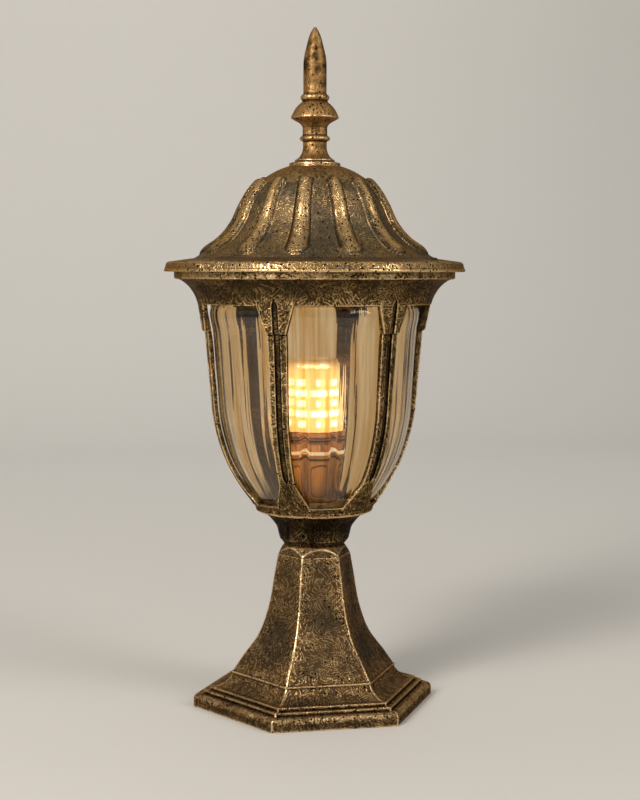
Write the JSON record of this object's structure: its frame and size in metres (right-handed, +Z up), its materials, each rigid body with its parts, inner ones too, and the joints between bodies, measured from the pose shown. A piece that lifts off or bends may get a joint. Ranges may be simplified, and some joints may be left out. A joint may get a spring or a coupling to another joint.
{
  "type": "pillar lamp",
  "caption": "Outdoor pillar lamp: stepped hexagonal pedestal, ribbed lantern cage with an acorn glass shade around a screw-in lamp, gadrooned dome roof and spear finial.",
  "frame": {"origin": "centre of the pedestal's underside, on the pillar's top face", "axes": "+Z up along the lamp's axis; a flat of the pedestal and a window of the lantern face -Y"},
  "size_m": [0.2218, 0.2218, 0.5],
  "materials": {
    "bronze_casting": "die-cast aluminium, near-black bronze paint with rubbed gold strokes",
    "gold_casting": "die-cast aluminium, rubbed gold bronze paint",
    "shade_glass": "pressed glass, light amber, rippled",
    "cover_plastic": "clear ribbed polycarbonate",
    "rose_gold": "rose gold anodised aluminium",
    "gold_sink": "gold anodised aluminium",
    "led_board": "white solder mask",
    "led_chip": "yellow phosphor, lit",
    "white_plastic": "white plastic",
    "black_plastic": "black plastic",
    "porcelain": "white glazed porcelain",
    "nickel_brass": "nickel-plated brass",
    "zinc_steel": "zinc-plated steel",
    "dark_steel": "blackened steel",
    "seal_rubber": "black rubber",
    "clear_silicone": "translucent silicone rubber",
    "brown_wire": "brown wire sleeve",
    "blue_wire": "blue wire sleeve"
  },
  "bodies": {
    "root": {"base_casting": "bronze_casting", "neck_cup": "bronze_casting", "set_screws": "dark_steel", "lantern_cage": "bronze_casting", "glass_shade": "shade_glass", "glass_seat_gasket": "clear_silicone", "glass_clips": "zinc_steel", "clip_screws": "zinc_steel", "roof": "bronze_casting", "roof_gasket": "seal_rubber", "roof_screws": "dark_steel", "finial": "gold_casting", "finial_stud": "zinc_steel", "finial_washer": "zinc_steel", "finial_nut": "zinc_steel", "holder_plate": "zinc_steel", "cage_screws": "zinc_steel", "lampholder_body": "porcelain", "lampholder_shell": "nickel_brass", "lampholder_contact": "nickel_brass", "holder_ring": "white_plastic", "bulb_screw_cap": "nickel_brass", "bulb_cap_insulator": "black_plastic", "bulb_cap_contact": "nickel_brass", "bulb_housing": "gold_sink", "bulb_seal": "white_plastic", "bulb_ring": "rose_gold", "bulb_cover": "cover_plastic", "led_column": "led_board", "led_chips": "led_chip", "mounting_strap": "zinc_steel", "tie_rod": "zinc_steel", "strap_nut": "zinc_steel", "tie_washer": "zinc_steel", "tie_nut": "zinc_steel", "terminal_block": "white_plastic", "terminal_screw": "zinc_steel", "earth_screw": "zinc_steel", "live_lead": "brown_wire", "neutral_lead": "blue_wire", "lead_grommets": "seal_rubber"}
  },
  "joints": []
}
